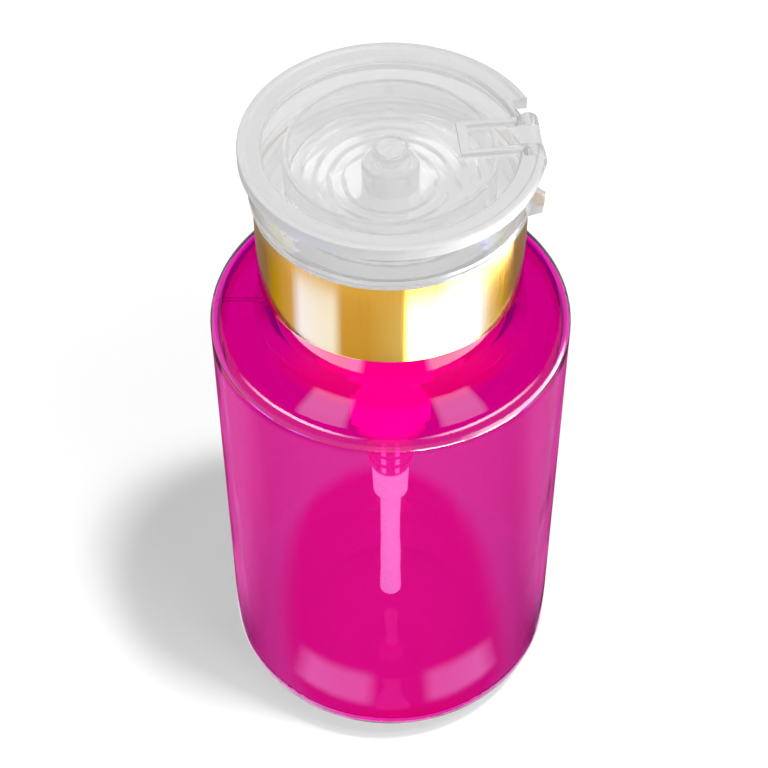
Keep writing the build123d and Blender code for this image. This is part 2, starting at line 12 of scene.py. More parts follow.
import bpy
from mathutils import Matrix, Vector


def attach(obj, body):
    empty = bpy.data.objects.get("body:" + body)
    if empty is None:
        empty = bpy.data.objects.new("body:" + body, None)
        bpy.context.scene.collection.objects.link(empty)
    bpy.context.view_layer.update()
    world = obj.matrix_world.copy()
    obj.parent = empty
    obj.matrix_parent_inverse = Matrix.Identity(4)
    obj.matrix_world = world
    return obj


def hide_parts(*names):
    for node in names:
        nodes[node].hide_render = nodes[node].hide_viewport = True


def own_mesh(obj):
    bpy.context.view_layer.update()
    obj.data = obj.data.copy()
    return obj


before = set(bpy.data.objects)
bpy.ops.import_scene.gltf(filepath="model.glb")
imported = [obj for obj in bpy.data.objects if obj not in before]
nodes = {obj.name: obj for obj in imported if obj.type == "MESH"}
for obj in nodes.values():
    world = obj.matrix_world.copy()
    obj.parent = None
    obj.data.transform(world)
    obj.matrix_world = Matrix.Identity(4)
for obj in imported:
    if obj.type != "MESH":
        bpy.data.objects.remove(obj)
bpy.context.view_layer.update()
print("pieces in the frame:", len(nodes))

# %% [markdown]
# ## Writing shader maths as arithmetic
# A finish is a small sum: "a little deeper where the noise is high". Blender would take a Math
# node for each sign. This class wraps one output of a node and turns the signs into those nodes,
# and the Finish class adds every other node through one method, settings first and then the
# sockets.

# %% One socket, with arithmetic
class Flow:
    """One output of a shader node. Signs on it add Math nodes."""

    def __init__(self, finish, socket):
        self.finish = finish
        self.socket = socket

    def maths(self, operation, *values):
        return self.finish.maths_of(operation, *values)

    def __add__(self, other):
        return self.maths("ADD", self, other)

    def __radd__(self, other):
        return self.maths("ADD", other, self)

    def __sub__(self, other):
        return self.maths("SUBTRACT", self, other)

    def __rsub__(self, other):
        return self.maths("SUBTRACT", other, self)

    def __mul__(self, other):
        return self.maths("MULTIPLY", self, other)

    def __rmul__(self, other):
        return self.maths("MULTIPLY", other, self)

    def __truediv__(self, other):
        return self.maths("DIVIDE", self, other)

    def larger(self, other):
        return self.maths("MAXIMUM", self, other)

    def size(self):
        return self.maths("ABSOLUTE", self)


# %% A finish, which is one material
MIX_COLOUR = {"factor": 0, "one": 6, "other": 7, "result": 2}
NOISE_SWING = (0.3, 0.7)


def grey(level):
    """A colour without a hue."""
    return (level, level, level, 1)


class Finish:
    """A material, or the world, built node by node."""

    def __init__(self, name=None, world=None):
        self.material = None if world else bpy.data.materials.new(name)
        holder = world or self.material
        holder.use_nodes = True
        self.tree = holder.node_tree
        self.tree.nodes.clear()
        kind = "ShaderNodeOutputWorld" if world else "ShaderNodeOutputMaterial"
        self.out = self.tree.nodes.new(kind)

    def feed(self, socket, value):
        if isinstance(value, Flow):
            self.tree.links.new(value.socket, socket)
        else:
            socket.default_value = value

    def node(self, kind, settings=(), sockets=(), result=0):
        made = self.tree.nodes.new(kind)
        for name, value in dict(settings).items():
            if name == "stops":
                for stop in value[len(made.color_ramp.elements):]:
                    made.color_ramp.elements.new(stop[0])
                for element, (place, colour) in zip(made.color_ramp.elements, value):
                    element.position = place
                    element.color = colour
            else:
                setattr(made, name, value)
        for name, value in dict(sockets).items():
            self.feed(made.inputs[name], value)
        return Flow(self, made.outputs[result])

    def maths_of(self, operation, *values):
        return self.node("ShaderNodeMath", {"operation": operation}, dict(enumerate(values)))

    def ramp(self, value, stops):
        """A colour that changes with value, from (value, colour) stops."""
        low, high = stops[0][0], stops[-1][0]
        shares = [((place - low) / (high - low), colour) for place, colour in stops]
        return self.node("ShaderNodeValToRGB", {"stops": shares}, {0: (value - low) / (high - low)})

    def mix(self, factor, one, other):
        """A colour between two colours."""
        given = {"factor": factor, "one": one, "other": other}
        sockets = {MIX_COLOUR[name]: value for name, value in given.items()}
        return self.node("ShaderNodeMix", {"data_type": "RGBA"}, sockets, MIX_COLOUR["result"])

    def blend(self, factor, one, other):
        """A shader between two shaders."""
        return self.node("ShaderNodeMixShader", (), {0: factor, 1: one, 2: other})

    def place(self, stretch=(1, 1, 1)):
        """Where a point lies on the object, in metres, stretched for a pattern with a direction."""
        where = self.node("ShaderNodeTexCoord", (), (), "Object")
        return self.node("ShaderNodeVectorMath", {"operation": "MULTIPLY"}, {0: where, 1: stretch})

    def noise(self, size, stretch=(1, 1, 1), detail=2.0):
        """Noise from 0 to 1 whose blobs are about size metres wide."""
        sockets = {"Vector": self.place(stretch), "Scale": 1 / size, "Detail": detail}
        return self.node("ShaderNodeTexNoise", (), sockets, "Fac")

    def between(self, value, low, high, start=0.0, end=1.0):
        """value brought smoothly from low..high to start..end."""
        settings = {"interpolation_type": "SMOOTHSTEP"}
        ends = {"From Min": low, "From Max": high, "To Min": start, "To Max": end}
        return self.node("ShaderNodeMapRange", settings, {"Value": value, **ends})

    def fading(self, value, low, high):
        """1 where value is under low, and 0 where it is over high."""
        return self.between(value, low, high, 1.0, 0.0)

    def patchy(self, noise, least, most):
        """A roughness that follows a noise."""
        return self.between(noise, *NOISE_SWING, least, most)

    def bump(self, height, depth):
        """A normal bent by height, as if it were depth metres deep."""
        sockets = {"Height": height, "Distance": depth, "Strength": 1.0}
        return self.node("ShaderNodeBump", (), sockets)

    def radius(self, middle=(0, 0, 0)):
        """Distance from the bottle's axis, or from another upright line, in metres."""
        sockets = {0: self.place((1, 1, 0)), 1: middle}
        return self.node("ShaderNodeVectorMath", {"operation": "DISTANCE"}, sockets, "Value")

    def along(self, axis):
        """One coordinate of the point, in metres."""
        return self.node("ShaderNodeSeparateXYZ", (), {0: self.place()}, axis)

    def azimuth(self):
        """Degrees round the axis, 0 at the front and positive to the right."""
        turn = self.maths_of("ARCTAN2", self.along("X"), -1.0 * self.along("Y"))
        return turn * math.degrees(1)

    def ray(self, kind):
        return self.node("ShaderNodeLightPath", (), (), kind)

    def shine(self, colour, strength, kind="ShaderNodeEmission"):
        return self.node(kind, (), {"Color": colour, "Strength": strength})

    def pane(self, share=1.0):
        """Lets a share of the light straight through."""
        return self.node("ShaderNodeBsdfTransparent", (), {"Color": grey(share)})

    def plastic(self, **sockets):
        """The Principled shader, with its sockets named by the words in them."""
        named = {name.replace("_", " "): value for name, value in sockets.items()}
        return self.node("ShaderNodeBsdfPrincipled", (), named)

    def let_lamps_through(self, shader, share):
        """Glass whose shadow is only as dark as a pane's, and which bounced light passes freely."""
        shaded = self.blend(self.ray("Is Shadow Ray"), shader, self.pane(share))
        return self.blend(self.ray("Is Diffuse Ray"), shaded, self.pane())

    def surface(self, shader):
        self.feed(self.out.inputs["Surface"], shader)
        return self.material


def dress(names, material):
    """Gives CAD nodes a material."""
    for name in names:
        slots = nodes[name].material_slots
        for slot in slots:
            slot.material = material
        if not slots:
            nodes[name].data.materials.append(material)
    print(material.name, "on", ", ".join(names))


# %% [markdown]
# ## The camera
# The photograph looks down at 49 degrees from 350 mm, close enough for the lid to look much
# larger than the foot. The numbers come from the bottle's outline: two edges that lean together,
# and the ellipses of the lid and the shoulder. The camera stands a little to the left of the
# front, and the lid's hinge is on the right. Lamps and cards are placed the same way, so one
# helper does all three.

# %% Camera
LOOKING_DOWN = 48.88
TURNED_LEFT = 6.0
CAMERA_DISTANCE = 0.3496
AIM = Vector((0, 0, 0.06997))
LENS = 92.86
SENSOR_WIDTH = 36
FRAME_SHIFT = -0.0085
CLIP_START = 0.01


def stand(made, azimuth, elevation, distance):
    """Puts a thing at a distance from the aim and turns it to face the aim.

    Both angles are in degrees. The azimuth runs from the front towards the right.
    """
    turn, rise = math.radians(azimuth), math.radians(elevation)
    level = math.cos(rise)
    back = Vector((math.sin(turn) * level, -math.cos(turn) * level, math.sin(rise)))
    made.location = AIM + back * distance
    made.rotation_euler = back.to_track_quat("Z", "Y").to_euler()
    bpy.context.collection.objects.link(made)
    print(made.name, "at", [round(v, 4) for v in made.location])


camera = bpy.data.objects.new("camera", bpy.data.cameras.new("camera"))
camera.data.lens = LENS
camera.data.sensor_width = SENSOR_WIDTH
camera.data.shift_x = FRAME_SHIFT
camera.data.clip_start = CLIP_START
stand(camera, -TURNED_LEFT, LOOKING_DOWN, CAMERA_DISTANCE)
bpy.context.scene.camera = camera

# %% [markdown]
# ## The studio
# A white sweep: a floor that curves up into a wall far behind. Rays from the camera, mirror rays
# and rays through glass see it white, and lamps still throw the bottle's shadow on it. For mirror
# rays it grows dim far from the bottle, and the ceiling is dark, so that the rounded edges of
# shoulder and lid mirror nothing but the cards, as in the photograph.

# %% Shape of the sweep
SWEEP_HOLE = 0.0001
SWEEP_REACH = 1.6
SWEEP_CURVE = 0.35
SWEEP_TOP = 1.1
FLOOR_RINGS = (SWEEP_HOLE, 0.1, 0.3, 0.8, SWEEP_REACH - SWEEP_CURVE)
FLOOR_DROP = 0.0002
ROUND_STEPS = 96
CURVE_STEPS = 12

profile = [(ring, 0.0) for ring in FLOOR_RINGS]
for step in range(1, CURVE_STEPS + 1):
    turn = math.pi / 2 * step / CURVE_STEPS
    reach = SWEEP_REACH - SWEEP_CURVE + SWEEP_CURVE * math.sin(turn)
    profile.append((reach, SWEEP_CURVE * (1 - math.cos(turn))))
profile.append((SWEEP_REACH, SWEEP_TOP))


def turned_mesh(name, profile, steps):
    """A mesh turned about Z from (radius, height) points."""
    points, faces = [], []
    for radius, height in profile:
        for step in range(steps):
            angle = 2 * math.pi * step / steps
            points.append((radius * math.cos(angle), radius * math.sin(angle), height))
    for ring in range(len(profile) - 1):
        for step in range(steps):
            a = ring * steps + step
            b = ring * steps + (step + 1) % steps
            faces.append((a, b, b + steps, a + steps))
    mesh = bpy.data.meshes.new(name)
    mesh.from_pydata(points, [], faces)
    mesh.polygons.foreach_set("use_smooth", [True] * len(faces))
    mesh.update()
    made = bpy.data.objects.new(name, mesh)
    bpy.context.collection.objects.link(made)
    return made


sweep = turned_mesh("sweep", profile, ROUND_STEPS)
sweep.location.z = -FLOOR_DROP
print("sweep reaches", SWEEP_REACH, "m")

# %% Paper of the sweep
WHITE = grey(1)
PAPER = grey(0.80), grey(0.84)
CAMERA_GLOW = 0.2
GLOW_GROWS = (0.07, 0.2)
FAR_FLOOR = (0.36, 0.6)
FAR_DIMMING = 0.65

paper = Finish("white_paper")
matt = paper.plastic(
    Base_Color=paper.mix(paper.noise(0.0006, detail=3.0), *PAPER),
    Roughness=0.9,
    Specular_IOR_Level=0.0,
)
edge_glow = paper.between(paper.radius(), *GLOW_GROWS, CAMERA_GLOW, CAMERA_GLOW * 2.0)
lit = paper.node("ShaderNodeAddShader", (), {0: matt, 1: paper.shine(WHITE, edge_glow)})
seen = paper.blend(paper.ray("Is Camera Ray"), matt, lit)
far_off = paper.ray("Is Glossy Ray") * paper.between(paper.radius(), *FAR_FLOOR)
plain_white = paper.shine(WHITE, 1 - far_off * FAR_DIMMING)
behind_glass = paper.ray("Is Glossy Ray").larger(paper.ray("Is Transmission Ray"))
sweep.data.materials.append(paper.surface(paper.blend(behind_glass, seen, plain_white)))

# %% World
DAYLIGHT = 0.27
DARK_CEILING = 0.02
BEHIND_PLASTIC = 0.4

room = bpy.data.worlds.new("room")
bpy.context.scene.world = room
air = Finish(world=room)
daylight, dark_ceiling, behind_plastic = (
    air.shine(WHITE, strength, "ShaderNodeBackground")
    for strength in (DAYLIGHT, DARK_CEILING, BEHIND_PLASTIC)
)
opaque = air.blend(air.ray("Is Glossy Ray"), daylight, dark_ceiling)
air.surface(air.blend(air.ray("Is Transmission Ray"), opaque, behind_plastic))
print("daylight", DAYLIGHT)


# %% Softboxes
def softbox(name, azimuth, elevation, distance, size, radiance):
    """A rectangular lamp that only lights, and isn't mirrored. A radiance of 1 is white."""
    lamp = bpy.data.lights.new(name, "AREA")
    lamp.shape = "RECTANGLE"
    lamp.size, lamp.size_y = size
    lamp.energy = radiance * math.pi * size[0] * size[1]
    made = bpy.data.objects.new(name, lamp)
    made.visible_camera = False
    made.visible_transmission = False
    made.visible_glossy = False
    stand(made, azimuth, elevation, distance)


softbox("left_box", azimuth=-40, elevation=36, distance=0.6, size=(0.14, 0.24), radiance=4.0)
softbox("right_box", azimuth=32, elevation=36, distance=0.6, size=(0.18, 0.24), radiance=4.0)
softbox("key", azimuth=60, elevation=72.6, distance=1.5, size=(0.15, 0.15), radiance=203.0)

# %% [markdown]
# ## What the sleeve mirrors
# Seen from above, the upright walls of sleeve and neck mirror the table in front of the bottle.
# There the photographer has laid cards: black ones that deepen the magenta and give the gold its
# brown edges, and white ones, which are the bright bands on the sleeve and the pale patches on
# the neck. Each card's light is written as (azimuth in degrees, radiance) stops, and a ramp runs
# between them.

# %% Light of the cards
BRIGHTEST = 20.0
BLACK = (0.0, 0.0, 0.0)
BROWN = (0.30, 0.22, 0.16)
TAN = (0.74, 0.68, 0.45)
DEEP_TAN = (0.55, 0.48, 0.0)
LIGHT_TAN = (0.85, 1.05, 1.6)
CREAM = (1.15, 1.9, 8.5)
BRIGHT = (18.0, 18.0, 18.0)
PALE = (1.0, 0.9, 1.8)
PATCH = (3.3, 3.4, 4.2)
PATCH_FOOT = (2.5, 2.5, 3.6)
WHITE_TABLE = (0.9, 0.9, 0.9)
GREY_TABLE = (0.5, 0.5, 0.5)
SHINY_TABLE = (9.0, 9.0, 9.0)
ROSE = (0.55, 0.06, 0.26)
PLUM = (0.4, 0.0, 0.2)
GLINT = (8.0, 8.0, 8.0)
DIM = (0.2, 0.2, 0.2)

SLEEVE_BANDS = [
    (-180, BROWN), (-128, BROWN), (-112, DEEP_TAN), (-92, TAN), (-82, CREAM), (-52, CREAM),
    (-44, TAN), (-24, TAN), (4, LIGHT_TAN), (9, BRIGHT), (64, BRIGHT), (71, CREAM),
    (81, LIGHT_TAN), (95, DEEP_TAN), (109, BROWN), (180, BROWN),
]
SHELL_BANDS = [
    (-180, GREY_TABLE), (-110, GREY_TABLE), (-90, WHITE_TABLE), (30, WHITE_TABLE),
    (44, SHINY_TABLE), (100, SHINY_TABLE), (112, GREY_TABLE), (180, GREY_TABLE),
]
HEEL_BANDS = [
    (-180, ROSE), (-110, ROSE), (-70, BLACK), (-54, BLACK), (-44, PALE), (-18, PALE), (-12, BLACK),
    (8, BLACK), (14, PALE), (38, PALE), (48, BLACK), (70, BLACK), (110, ROSE), (180, ROSE),
]
WALL_BANDS = [(-180, ROSE), (-130, ROSE), (-70, BLACK), (70, BLACK), (130, ROSE), (180, ROSE)]
NECK_BANDS = [
    (-180, PLUM), (-78, PLUM), (-68, PATCH), (-24, PATCH), (-20, BLACK), (13, BLACK),
    (17, PATCH), (52, PATCH), (62, PLUM), (180, PLUM),
]
SHOULDER_BANDS = [
    (-180, BLACK), (-39, BLACK), (-37, PATCH_FOOT), (-22, PATCH_FOOT), (-20, BLACK),
    (10, BLACK), (12, PATCH_FOOT), (26, PATCH_FOOT), (28, BLACK), (180, BLACK),
]
DISH_BANDS = [
    (-180, DIM), (-172, DIM), (-164, GLINT), (-128, GLINT), (-118, DIM),
    (122, DIM), (132, GLINT), (158, GLINT), (166, DIM), (180, DIM),
]


def bands(finish, stops):
    """Light that changes round the bottle, as shares of BRIGHTEST, since a ramp ends at 1."""
    shares = [(turn, (*(v / BRIGHTEST for v in light), 1)) for turn, light in stops]
    return finish.ramp(finish.azimuth(), shares)


# %% Making a card
def card(made, kind):
    """Makes a thing seen by one kind of ray only. It throws no shadow."""
    made.visible_camera = False
    made.visible_diffuse = False
    made.visible_shadow = False
    made.visible_volume_scatter = False
    made.visible_glossy = kind == "glossy"
    made.visible_transmission = kind == "transmission"
    print(made.name, "is seen by", kind, "rays")


def sheet(name, points, faces, material):
    """A flat mesh with a material."""
    mesh = bpy.data.meshes.new(name)
    mesh.from_pydata(points, [], faces)
    mesh.materials.append(material)
    return bpy.data.objects.new(name, mesh)


def sector(name, material, zone, start=-180, end=180, steps=ROUND_STEPS):
    """A flat piece of a ring, face up, between two azimuths. The zone is radii and height."""
    inner, outer, height = zone
    points = []
    for radius in (inner, outer):
        for step in range(steps + 1):
            turn = math.radians(start + (end - start) * step / steps)
            points.append((radius * math.sin(turn), -radius * math.cos(turn), height))
    faces = [(n + steps + 1, n + steps + 2, n + 1, n) for n in range(steps)]
    made = sheet(name, points, faces, material)
    bpy.context.collection.objects.link(made)
    return made


# %% [markdown]
# ## The table's cards
# Zones round the bottle follow from where a mirror ray lands: one from the heel lands close by,
# one from the wall further out, one from the sleeve about 100 mm away and one from the clear ring
# beyond. The camera is close, so rays from the front land further out than rays from the sides,
# and the zones' middles lie a little in front of the axis. The cards for sleeve and ring are lit
# only for rays at least as long as the way down from there, so that in other views the lower body
# mostly doesn't mirror them.

# %% Cards on the table
TABLE_CARD = (0.0325, 0.36, 0.0005)
HEEL_ZONE_START = (0.0372, 0.0392)
HEEL_ZONE_END = (0.0435, 0.0465)
SLEEVE_ZONE = (0.0962, 0.0978)
SLEEVE_REACH = (0.110, 0.118)
SLEEVE_MIDDLE = (-0.0012, -0.0109, 0.0)
SHELL_ZONE = (0.1272, 0.1284)
SHELL_REACH = (0.138, 0.148)
SHELL_MIDDLE = (-0.0003, -0.0025, 0.0)

banded = Finish("banded_card")
out = banded.radius()
way_down = banded.ray("Ray Length")
in_heel = banded.between(out, *HEEL_ZONE_START) * banded.fading(out, *HEEL_ZONE_END)
below = banded.mix(in_heel, bands(banded, WALL_BANDS), bands(banded, HEEL_BANDS))
for_sleeve = (
    banded.between(banded.radius(SLEEVE_MIDDLE), *SLEEVE_ZONE)
    * banded.between(way_down, *SLEEVE_REACH)
)
beside = banded.mix(for_sleeve, below, bands(banded, SLEEVE_BANDS))
for_shell = (
    banded.between(banded.radius(SHELL_MIDDLE), *SHELL_ZONE)
    * banded.between(way_down, *SHELL_REACH)
)
paint = banded.mix(for_shell, beside, bands(banded, SHELL_BANDS))
banded.surface(banded.shine(paint, BRIGHTEST))
banded.material.cycles.emission_sampling = "NONE"
card(sector("table_cards", banded.material, TABLE_CARD), "glossy")

# %% [markdown]
# A black card lies in front of the bottle, seen through its walls only. It makes the lower middle
# of the body deep, and fades out to the sides, where the photograph shows the pale table again.

# %% Card in front
FRONT_FADE = (72, 98)
FRONT_START, FRONT_END, FRONT_STEPS = -112, 100, 48

front = Finish("front_card")
off_axis = (front.azimuth() + TURNED_LEFT).size()
dark = front.shine(grey(0), 0.0)
front.surface(front.blend(front.between(off_axis, *FRONT_FADE), dark, front.pane()))
front_cards = sector("front_cards", front.material, TABLE_CARD, FRONT_START, FRONT_END, FRONT_STEPS)
card(front_cards, "transmission")

# %% [markdown]
# ## Rings over the shoulder and under the lid
# Two rings just over the shoulder do for the neck and the flat shoulder what the table's cards do
# for the sleeve, and a third, under the lid, gives the ridges of the dish their bright arcs. Each
# shines on one side only, so it lights the piece that it is made for and no other.

# %% Rings
NECK_CARD = (0.0226, 0.0270, 0.0919)
SHOULDER_CARD = (0.0226, 0.0290, 0.0917)
DISH_CARD = (0.0060, 0.0168, 0.1249)


def one_sided_card(name, stops, zone, lit_from_above):
    """A ring that shines on one side and lets light pass on the other."""
    ring = Finish(name)
    underneath = ring.node("ShaderNodeNewGeometry", (), (), "Backfacing")
    shining, nothing = ring.shine(bands(ring, stops), BRIGHTEST), ring.pane()
    sides = (shining, nothing) if lit_from_above else (nothing, shining)
    ring.surface(ring.blend(underneath, *sides))
    ring.material.cycles.emission_sampling = "NONE"
    card(sector(name, ring.material, zone), "glossy")


one_sided_card("neck_cards", NECK_BANDS, NECK_CARD, lit_from_above=True)
one_sided_card("shoulder_cards", SHOULDER_BANDS, SHOULDER_CARD, lit_from_above=False)
one_sided_card("dish_cards", DISH_BANDS, DISH_CARD, lit_from_above=False)

# %% [markdown]
# ## Cards that hang in front
# Two long cards hang in front, to the left and the right, and show in every rounded edge. They
# fade towards their ends, so that no edge of theirs shows as a hard line.

# %% Hanging cards
HANGING_SIZE = (0.96, 0.18)
HANGING_PLACE = {"elevation": 33, "distance": 0.6}
HANGING_LIGHT = 15.0


def hanging_card(name, azimuth):
    """A lit card for mirror rays. It fades towards its edges."""
    half_wide, half_tall = (size / 2 for size in HANGING_SIZE)
    hung = Finish(name)
    across = hung.fading(hung.along("X").size(), half_wide * 0.1, half_wide)
    upright = hung.fading(hung.along("Y").size(), half_tall * 0.5, half_tall)
    hung.surface(hung.shine(hung.mix(across * upright, grey(0), WHITE), HANGING_LIGHT))
    hung.material.cycles.emission_sampling = "NONE"
    corners = [(x * half_wide, y * half_tall, 0) for x, y in ((-1, -1), (1, -1), (1, 1), (-1, 1))]
    made = sheet(name, corners, [(0, 1, 2, 3)], hung.material)
    stand(made, azimuth, **HANGING_PLACE)
    card(made, "glossy")


hanging_card("left_card", -62)
hanging_card("right_card", 50)

# %% [markdown]
# ## Clear magenta: the bottle
# The bottle is blow moulded, so its wall is thin, glossy and a little uneven, and thicker at the
# heel and the shoulder. The tint of a wall is set by the Principled shader's Base Color, which
# light takes once on its way through a wall. A slow noise thins and thickens it, and a shallow
# bump makes the reflections swim as they do on blown plastic. Where a ray only grazes the wall it
# runs a long way inside it, so a Layer Weight deepens the tint there. The mould's parting line
# shows on the shoulder.

# %% Tints of the wall
THIN_WALL = (0.90, 0.20, 0.62, 1), (0.88, 0.19, 0.60, 1)
HEEL_WALL = (0.96, 0.02, 0.46, 1), (0.94, 0.022, 0.44, 1)
SHOULDER_WALL = (0.77, 0.001, 0.42, 1)
ROOT_GLOW_TINT = (0.98, 0.002, 0.30, 1)
SEAM_WALL = (0.30, 0.0, 0.14, 1)
EDGE_FOOT = (0.97, 0.14, 0.62, 1)
EDGE_WALL = (0.87, 0.03, 0.42, 1)

magenta = Finish("magenta_clear")
uneven = magenta.noise(0.018, (1, 1, 0.4))
height = magenta.along("Z")
side = magenta.along("X")
depth = magenta.along("Y")

# %% [markdown]
# The heel's deep tint ends in a curve that is lowest at the sides, because its wall thickens
# towards the middle of the foot. The shoulder's tint starts a little higher at the front than at
# the back, as in the photograph.

# %% Heel, shoulder and seam
HEEL_TOP = (0.0075, 0.014)
HEEL_CURL = 21.5
SHOULDER_START = (0.0841, 0.0861)
SHOULDER_TILT = 0.09
FRONT_SIDE = (35, 75)
NECK_ROOT = (0.0222, 0.0250)
ACROSS_SEAM = (0.122, 0.993)
SEAM_EDGE = (0.00008, 0.0002)
SEAM_END = (-0.0215, -0.0205)

low = magenta.fading(height + side * side * HEEL_CURL, *HEEL_TOP)
high = magenta.between(height + depth * SHOULDER_TILT, *SHOULDER_START)
in_front = magenta.fading(magenta.azimuth().size(), *FRONT_SIDE)
# Painted light: in front only, where the neck rises from the shoulder, the tint turns a brighter
# red that stands in for light gathering in that rounded corner.
root_glow_in_front = magenta.fading(magenta.radius(), *NECK_ROOT) * in_front
beside_seam = (side * ACROSS_SEAM[0] + depth * ACROSS_SEAM[1]).size()
seam = magenta.fading(beside_seam, *SEAM_EDGE) * magenta.fading(side, *SEAM_END)

body = magenta.mix(low, magenta.mix(uneven, *THIN_WALL), magenta.mix(uneven, *HEEL_WALL))
shoulder = magenta.mix(seam, magenta.mix(root_glow_in_front, SHOULDER_WALL, ROOT_GLOW_TINT), SEAM_WALL)
facing = magenta.mix(high, body, shoulder)

# %% [markdown]
# Two places would mirror the cards far too strongly: the narrow ring where the neck rises from
# the shoulder, and the shoulder's far edge. There a calm skin, with almost no mirror in it, takes
# over.

# %% Edges, gloss and calm places
GRAZING = (0.80, 0.84)
EDGE_HEIGHT = (0.01, 0.05)
RING_START = (0.0913, 0.0916)
RING_END = (0.0934, 0.0944)
RING_WIDTH = (0.0226, 0.0234)
BOTTLE_SHADE = 0.54

grazing = magenta.between(
    magenta.node("ShaderNodeLayerWeight", (), {"Blend": 0.5}, "Facing"), *GRAZING
)
edge = magenta.mix(magenta.between(height, *EDGE_HEIGHT), EDGE_FOOT, EDGE_WALL)
tint = magenta.mix(grazing * (1 - high), facing, edge)
root = (
    magenta.between(height, *RING_START)
    * magenta.fading(height, *RING_END)
    * magenta.fading(magenta.radius(), *RING_WIDTH)
)
far_edge = grazing * high
glossy = magenta.plastic(
    Base_Color=tint,
    Roughness=magenta.patchy(magenta.noise(0.004), 0.012, 0.03),
    IOR=1.5,
    Transmission_Weight=1.0,
    Normal=magenta.bump(magenta.noise(0.012, (1, 1, 0.35)), 0.00012),
)
calm = magenta.plastic(Base_Color=tint, Roughness=0.25, IOR=1.08, Transmission_Weight=1.0)
skin = magenta.blend(root.larger(far_edge), glossy, calm)
dress(["bottle"], magenta.surface(magenta.let_lamps_through(skin, BOTTLE_SHADE)))

# %% [markdown]
# ## Gold: the sleeve round the closure
# A deep-drawn aluminium sleeve, anodised gold. It is spun bright, so it keeps fine lines that run
# round it and smear each card into a tall band. The Principled shader's Anisotropic does that.

# %% Sleeve
GOLD = (0.80, 0.41, 0.05, 1), (0.85, 0.46, 0.07, 1)

gold = Finish("gold_anodised")
streak = gold.noise(0.0004, (1, 1, 0.02), detail=3.0)
sleeve = gold.plastic(
    Base_Color=gold.mix(streak, *GOLD),
    Metallic=1.0,
    Roughness=gold.between(streak, 0.2, 0.8, 0.07, 0.11),
    Anisotropic=0.6,
    Anisotropic_Rotation=0.25,
    Coat_Weight=0.1,
    Coat_Roughness=0.1,
    Normal=gold.bump(streak, 0.000004),
)
dress(["gold_collar"], gold.surface(sleeve))

# %% [markdown]
# ## Clear plastic: shell, dish and nozzle
# Clear moulded plastic: colourless, glossy, with a faint waviness from the mould.

# %% Clear pieces
CLEAR = grey(0.90), grey(0.94)
CLEAR_SHADE = 0.93

clear = Finish("clear_plastic")
haze = clear.noise(0.003)
glass = clear.plastic(
    Base_Color=clear.mix(haze, *CLEAR),
    Roughness=clear.patchy(haze, 0.02, 0.06),
    IOR=1.49,
    Transmission_Weight=0.8,
    Normal=clear.bump(clear.noise(0.004), 0.00005),
)
clear_pieces = clear.surface(clear.let_lamps_through(glass, CLEAR_SHADE))
dress(["top_shell", "push_dish", "nozzle_tip"], clear_pieces)

# %% [markdown]
# ## Frosted plastic: the lid
# The lid is moulded in one shot. Its outer band has a fine spark-eroded texture that scatters
# light, and the thin disc inside is almost polished. The two ribs that lead to the hinge and the
# bar across them are as milky as the band. One finish does it all, mixed by where a point lies.

# %% Where the lid is milky
BAND_START = (0.0199, 0.0203)
RIB_PLACE = 0.0033
RIB_EDGE = (0.0004, 0.0006)
RIB_START = (0.0104, 0.0106)
BAR_PLACE = 0.0114
BAR_EDGE = (0.0008, 0.0010)
BAR_END = (0.0036, 0.0038)

frosted = Finish("frosted_plastic")
mist = frosted.noise(0.0007, detail=3.0)
out_along_rib = frosted.along("X")
off_middle = frosted.along("Y").size()
band = frosted.between(frosted.radius(), *BAND_START)
on_rib = (
    frosted.fading((off_middle - RIB_PLACE).size(), *RIB_EDGE)
    * frosted.between(out_along_rib, *RIB_START)
)
on_bar = (
    frosted.fading((out_along_rib - BAR_PLACE).size(), *BAR_EDGE)
    * frosted.fading(off_middle, *BAR_END)
)
milky_share = band.larger(on_rib).larger(on_bar)

# %% Lid
MILKY = grey(0.74), grey(0.81)
POLISHED = grey(0.96), grey(0.98)
DISC_MIST = 0.12
LID_SHADE = 0.9

milky = frosted.plastic(
    Base_Color=frosted.mix(mist, *MILKY),
    Roughness=frosted.patchy(mist, 0.38, 0.5),
    IOR=1.5,
    Transmission_Weight=0.4,
    Normal=frosted.bump(mist, 0.00003),
)
polished = frosted.plastic(
    Base_Color=frosted.mix(mist, *POLISHED),
    Roughness=frosted.patchy(mist, 0.02, 0.045),
    IOR=1.5,
    Transmission_Weight=0.85,
    Normal=frosted.bump(frosted.noise(0.005), 0.00005),
)
mistiness = frosted.between(milky_share, 0.0, 1.0, DISC_MIST, 1.0)
lid_finish = frosted.blend(mistiness, polished, milky)
dress(["lid", "hinge_pin"], frosted.surface(frosted.let_lamps_through(lid_finish, LID_SHADE)))

# %% [markdown]
# ## The pump inside
# Barrel, valve section and dip tube are natural, slightly milky plastic. The closure under the
# sleeve is white, the seals are soft, and the balls and the spring are steel. They are seen
# through magenta walls. Light that bounces about in a magenta bottle is magenta itself, and the
# thin barrel and ribs take it on more than the double wall of socket and tube. Cycles would need
# very many bounces for that, so that light is painted on: housing and dip tube carry it as a weak
# painted glow, barrel and ribs get a painted pink base colour, and the rib crests carry two small
# painted highlights. The part in the head has none.

# %% Inner pieces
NATURAL = (0.90, 0.90, 0.89, 1), (0.95, 0.95, 0.94, 1)
PUMP_SHADE = 0.5

natural = Finish("natural_plastic")
cloud = natural.noise(0.002)
milk = natural.plastic(
    Base_Color=natural.mix(cloud, *NATURAL),
    Roughness=natural.patchy(cloud, 0.25, 0.35),
    IOR=1.49,
    Transmission_Weight=0.1,
    Normal=natural.bump(cloud, 0.00002),
)
inner_pieces = natural.surface(natural.let_lamps_through(milk, PUMP_SHADE))
dress(["valve_cage", "stem_guide", "stem", "piston_carrier"], inner_pieces)
